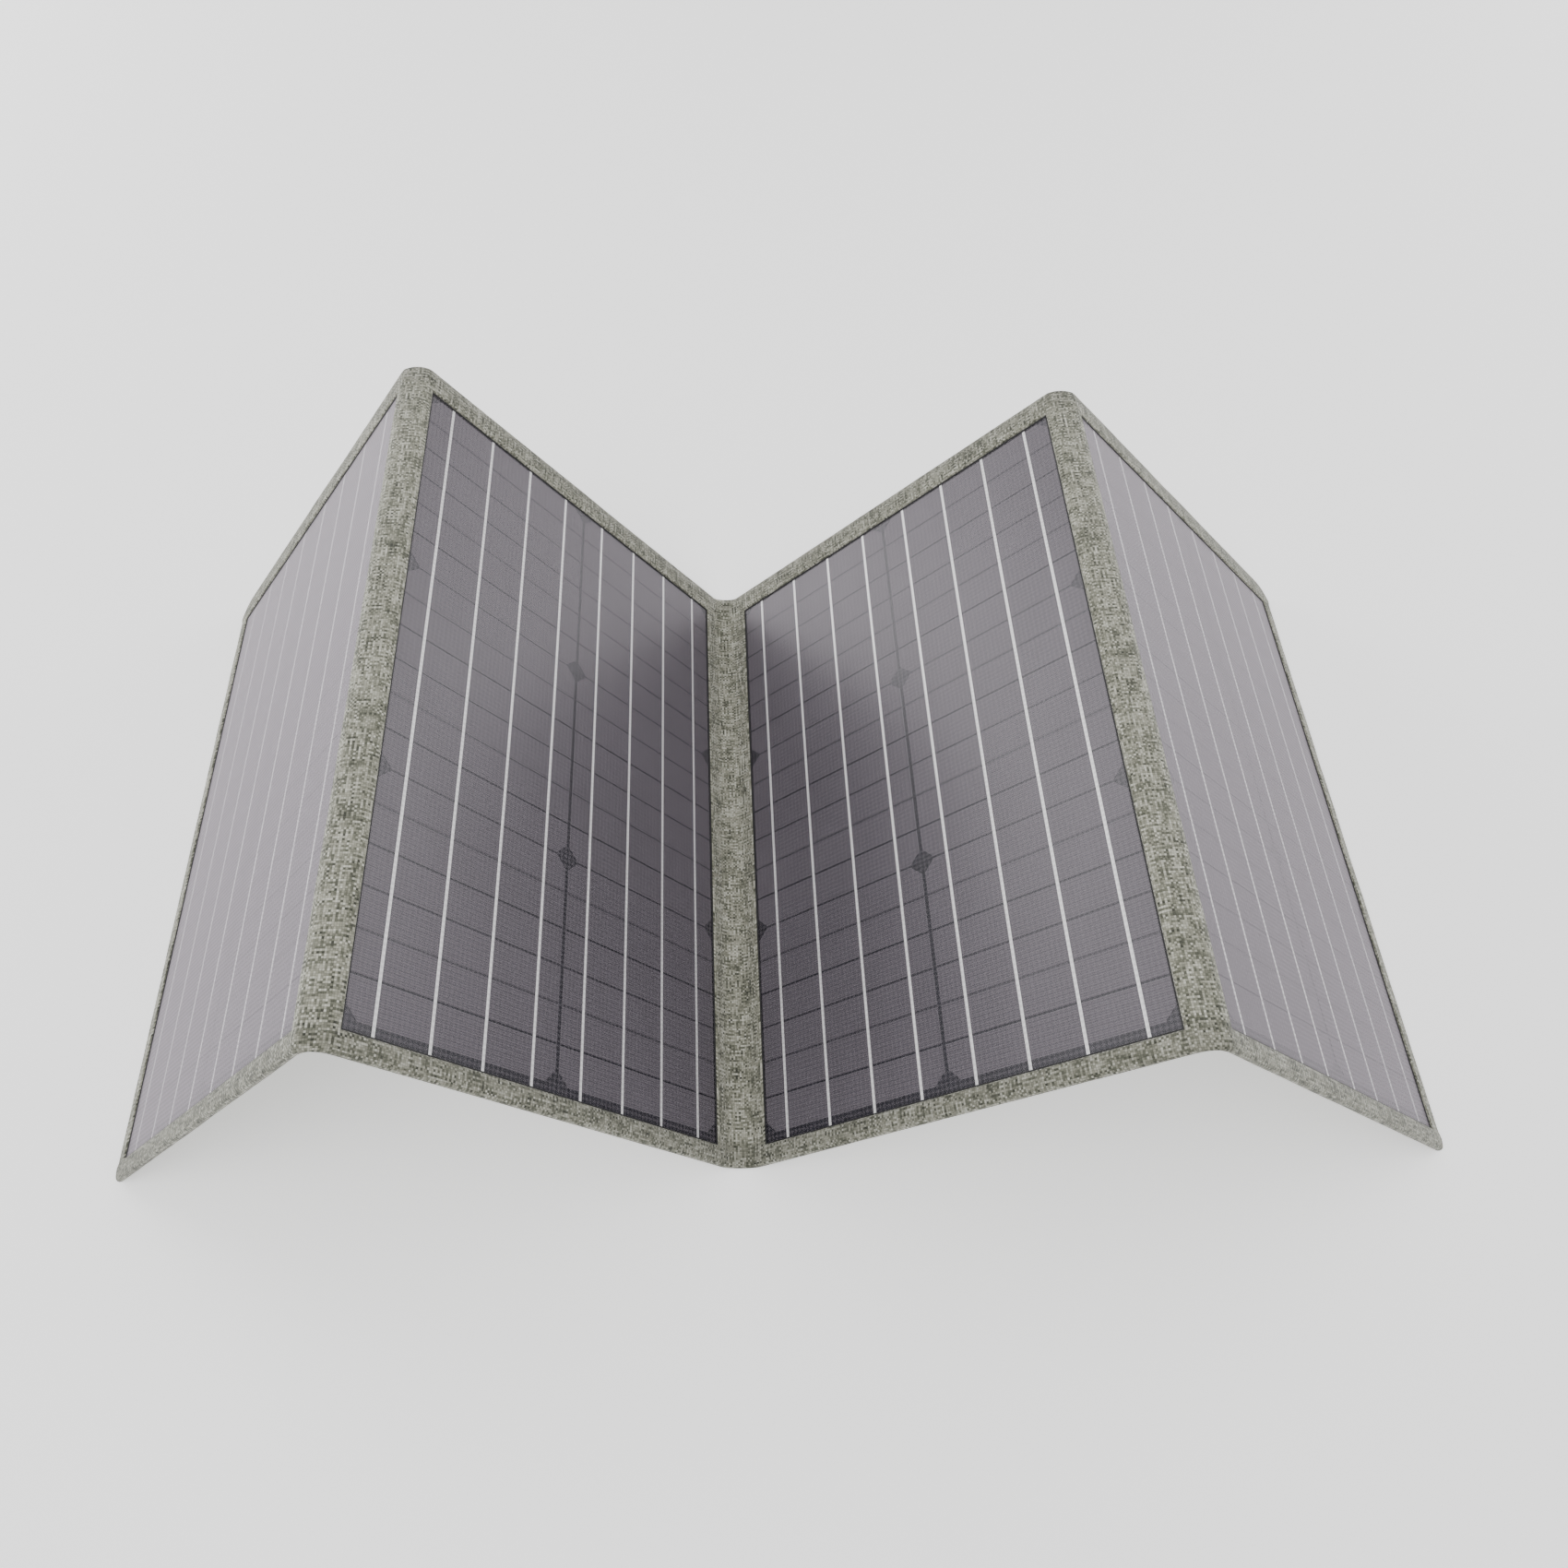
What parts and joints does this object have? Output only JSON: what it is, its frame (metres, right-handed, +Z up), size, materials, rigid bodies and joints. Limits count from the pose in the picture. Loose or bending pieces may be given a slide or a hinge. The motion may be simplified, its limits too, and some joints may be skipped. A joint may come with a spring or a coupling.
{
  "type": "folding solar panel",
  "caption": "Folding portable solar panel: fabric-framed boards of cut silicon cells joined by fabric folds, standing as a zigzag, with a junction box on the back.",
  "frame": {"origin": "on the ground, under the middle of the object's bounding box, with the boards set out as a zigzag", "axes": "+X across the boards from the first to the fourth, +Y along the folds from the near end to the far end, +Z up"},
  "size_m": [0.9724, 0.541, 0.2669],
  "materials": {
    "fabric": "woven melange, matte",
    "cover_film": "clear embossed fluoropolymer film",
    "encapsulant": "clear",
    "silicon": "dark blue-black crystalline silicon",
    "ribbon": "tinned copper ribbon",
    "backsheet": "black",
    "stiffener": "grey sheet",
    "black_plastic": "fine spark texture",
    "lead_jacket": "flat jacket",
    "circuit_board": "solder resist",
    "potting": "moulded",
    "screw_steel": "zinc plated",
    "seal_rubber": "soft"
  },
  "bodies": {
    "fold_23": {"fold_23_front_fabric": "fabric", "fold_23_rear_fabric": "fabric", "fold_23_lead": "lead_jacket"},
    "panel_2": {"panel_2_front_fabric": "fabric", "panel_2_cover_film": "cover_film", "panel_2_encapsulant": "encapsulant", "panel_2_cell_strips": "silicon", "panel_2_busbars": "ribbon", "panel_2_backsheet": "backsheet", "panel_2_stiffener": "stiffener", "panel_2_junction": "black_plastic", "panel_2_leads": "lead_jacket", "panel_2_rear_fabric": "fabric"},
    "panel_3": {"panel_3_front_fabric": "fabric", "panel_3_cover_film": "cover_film", "panel_3_encapsulant": "encapsulant", "panel_3_cell_strips": "silicon", "panel_3_busbars": "ribbon", "panel_3_backsheet": "backsheet", "panel_3_stiffener": "stiffener", "panel_3_junction": "black_plastic", "panel_3_leads": "lead_jacket", "panel_3_rear_fabric": "fabric"},
    "fold_12": {"fold_12_front_fabric": "fabric", "fold_12_rear_fabric": "fabric", "fold_12_lead": "lead_jacket"},
    "fold_34": {"fold_34_front_fabric": "fabric", "fold_34_rear_fabric": "fabric", "fold_34_lead": "lead_jacket"},
    "panel_1": {"panel_1_front_fabric": "fabric", "panel_1_cover_film": "cover_film", "panel_1_encapsulant": "encapsulant", "panel_1_cell_strips": "silicon", "panel_1_busbars": "ribbon", "panel_1_backsheet": "backsheet", "panel_1_stiffener": "stiffener", "panel_1_junction": "black_plastic", "panel_1_leads": "lead_jacket", "panel_1_rear_fabric": "fabric"},
    "panel_4": {"panel_4_front_fabric": "fabric", "panel_4_cover_film": "cover_film", "panel_4_encapsulant": "encapsulant", "panel_4_cell_strips": "silicon", "panel_4_busbars": "ribbon", "panel_4_backsheet": "backsheet", "panel_4_stiffener": "stiffener", "panel_4_junction": "black_plastic", "panel_4_leads": "lead_jacket", "panel_4_rear_fabric": "fabric", "output_box_plate": "black_plastic", "output_box_cover": "black_plastic", "output_box_circuit": "circuit_board", "output_box_diodes": "potting", "output_box_screws": "screw_steel", "gland_body": "black_plastic", "gland_cap": "black_plastic", "gland_seal": "seal_rubber", "gland_locknut": "black_plastic"}
  },
  "joints": [
    {"name": "valley_fold_left", "type": "hinge", "parent": "fold_23", "child": "panel_2", "pos_m": [-0.0421, 0, 0.00251], "axis": [0, 1, 0], "range_deg": [-47.21, 41.79]},
    {"name": "valley_fold_right", "type": "hinge", "parent": "fold_23", "child": "panel_3", "pos_m": [-0.02164, 0, 0.00123], "axis": [0, -1, 0], "range_deg": [-47.21, 41.79]},
    {"name": "left_ridge_inner", "type": "hinge", "parent": "panel_2", "child": "fold_12", "pos_m": [-0.25667, 0, 0.2656], "axis": [0, -1, 0], "range_deg": [-50.91, 38.09]},
    {"name": "left_ridge_outer", "type": "hinge", "parent": "fold_12", "child": "panel_1", "pos_m": [-0.27017, 0, 0.26558], "axis": [0, -1, 0], "range_deg": [-50.91, 38.09]},
    {"name": "right_ridge_inner", "type": "hinge", "parent": "panel_3", "child": "fold_34", "pos_m": [0.22414, 0, 0.23544], "axis": [0, 1, 0], "range_deg": [-43.55, 44.85]},
    {"name": "right_ridge_outer", "type": "hinge", "parent": "fold_34", "child": "panel_4", "pos_m": [0.23764, 0, 0.23546], "axis": [0, 1, 0], "range_deg": [-43.55, 44.85]}
  ],
  "couplings": [
    {"joint": "valley_fold_right", "follows": "valley_fold_left", "ratio": 1},
    {"joint": "left_ridge_outer", "follows": "left_ridge_inner", "ratio": 1},
    {"joint": "right_ridge_outer", "follows": "right_ridge_inner", "ratio": 1}
  ]
}
